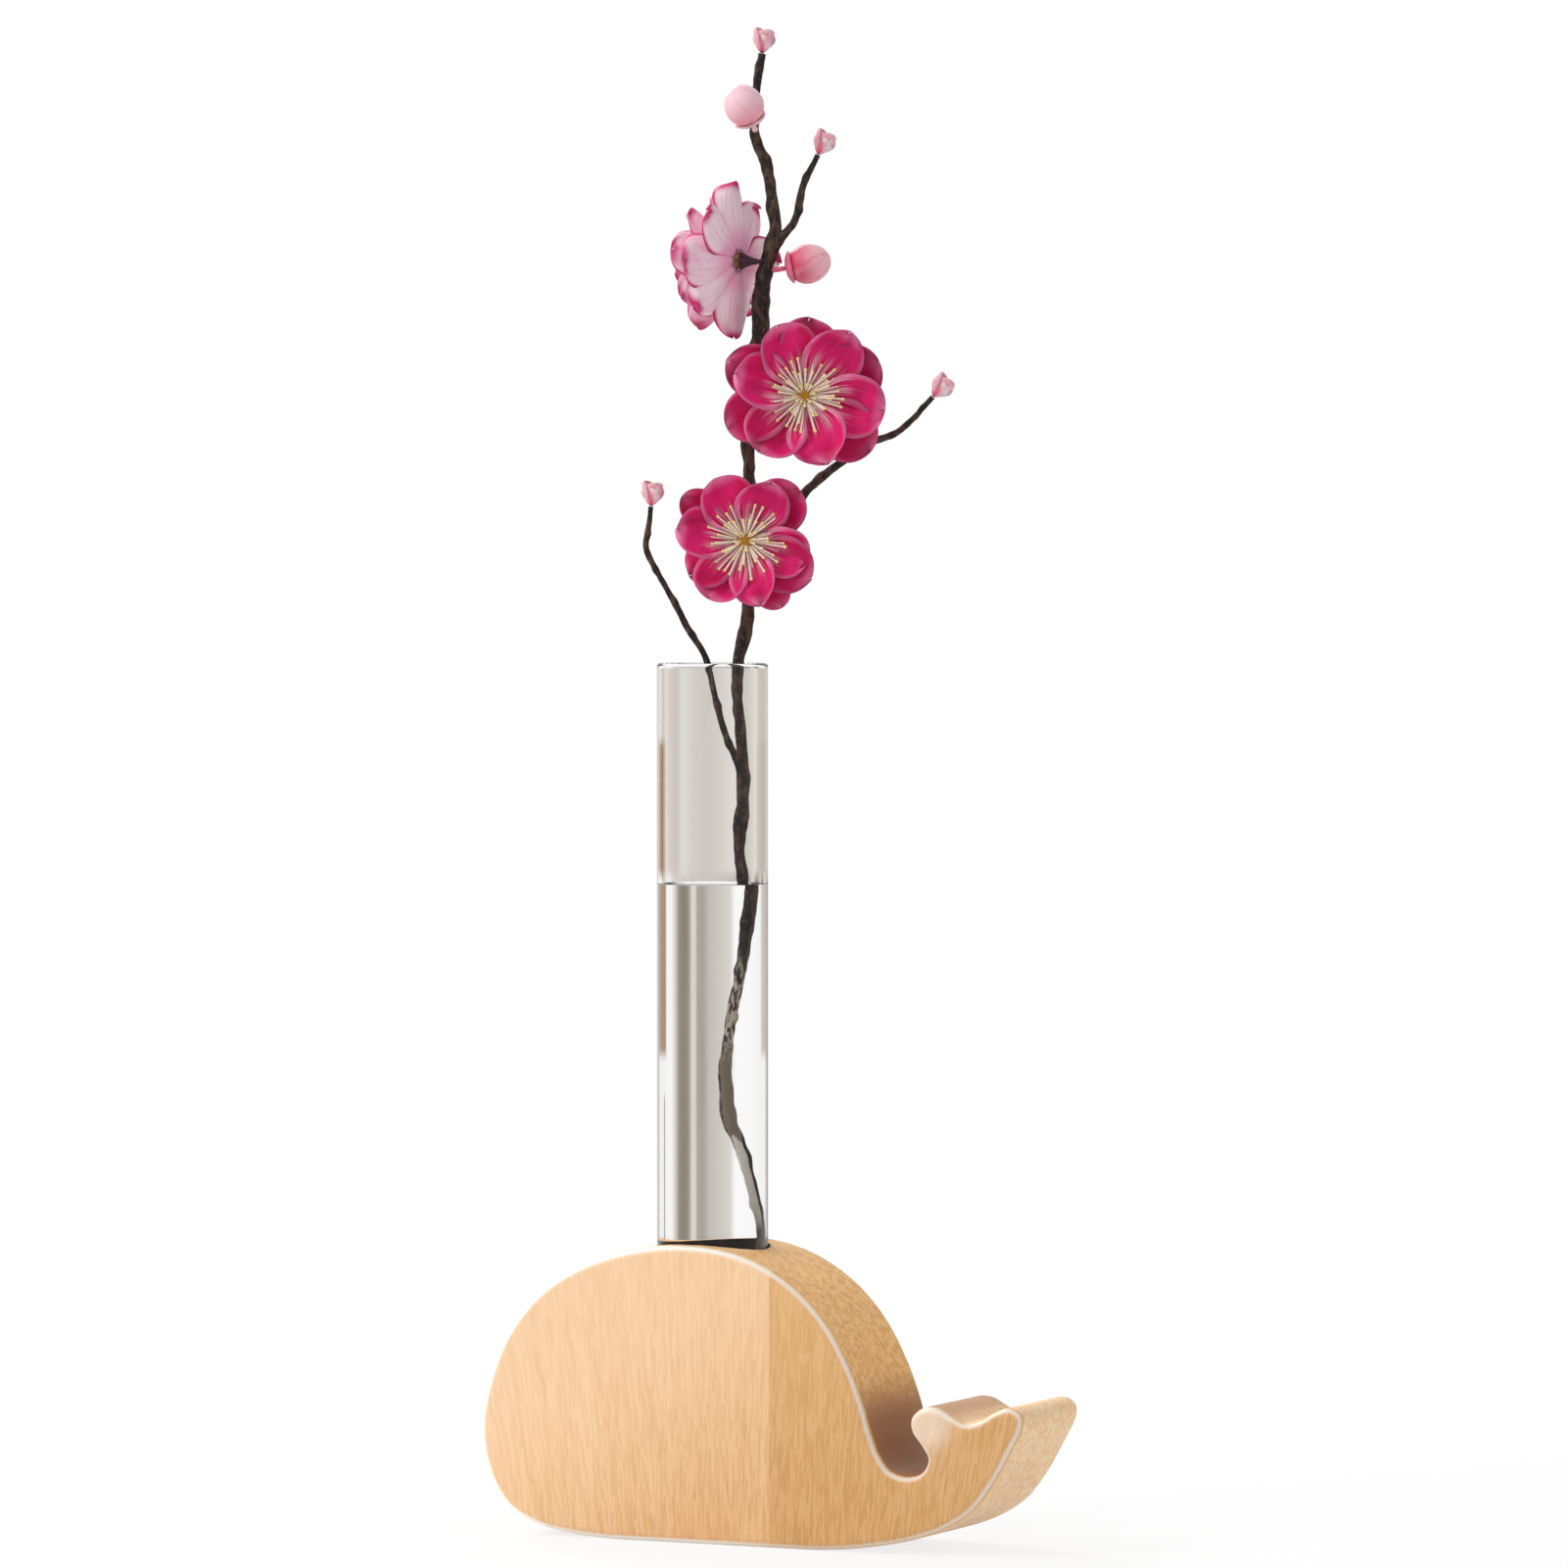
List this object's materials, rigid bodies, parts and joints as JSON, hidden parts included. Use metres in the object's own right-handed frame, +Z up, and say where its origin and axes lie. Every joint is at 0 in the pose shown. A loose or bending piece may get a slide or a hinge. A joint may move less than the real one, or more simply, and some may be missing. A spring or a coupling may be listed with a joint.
{
  "type": "magnetic bud vase",
  "caption": "Whale-shaped wooden block with magnets in its back, bored to hold an upright glass tube of water with a plum-blossom branch.",
  "frame": {"origin": "on the block's flat underside, below the tube's axis", "axes": "+Z up along the tube's axis, -Y out of the front face of the block, +Y out of the back face with the magnets, +X towards the tail"},
  "size_m": [0.1071, 0.0333, 0.272],
  "materials": {
    "beech_light": "sanded and oiled beech, pinkish light tan, straight upright grain",
    "beech_warm": "sanded and oiled beech, warmer orange tan, upright grain",
    "magnet_plate": "bright nickel plate",
    "clear_glass": "clear polished glass",
    "bark": "dark brown to black dry bark, pale where it is stripped at the foot",
    "sepals": "dull dark red",
    "pale_sepals": "dull greyish pink",
    "magenta_petals": "soft magenta with lighter rims and darker veins",
    "pale_petals": "soft pale pink with magenta edges",
    "stamens": "cream filaments with yellow anthers over a golden-brown centre",
    "bud_petals": "soft pink, paler towards the tip"
  },
  "bodies": {
    "base": {"head_block": "beech_light", "tail_block": "beech_warm", "magnet_left": "magnet_plate", "magnet_right": "magnet_plate"},
    "tube": {"glass_tube": "clear_glass"},
    "branch": {"plum_branch": "bark", "upper_calyx": "sepals", "upper_corolla": "magenta_petals", "upper_stamens": "stamens", "lower_calyx": "sepals", "lower_corolla": "magenta_petals", "lower_stamens": "stamens", "side_calyx": "sepals", "side_corolla": "pale_petals", "side_stamens": "stamens", "pale_bud_calyx": "pale_sepals", "pale_bud": "bud_petals", "pink_bud_calyx": "pale_sepals", "pink_bud": "bud_petals", "top_tip_bud": "bud_petals", "left_tip_bud": "bud_petals", "right_tip_bud": "bud_petals", "upper_tip_bud": "bud_petals"}
  },
  "joints": [
    {"name": "tube_lift", "type": "slide", "parent": "base", "child": "tube", "axis": [0, 0, 1], "range_m": [0, 0.06]},
    {"name": "branch_lift", "type": "slide", "parent": "tube", "child": "branch", "axis": [0, 0, 1], "range_m": [0, 0.155]}
  ]
}
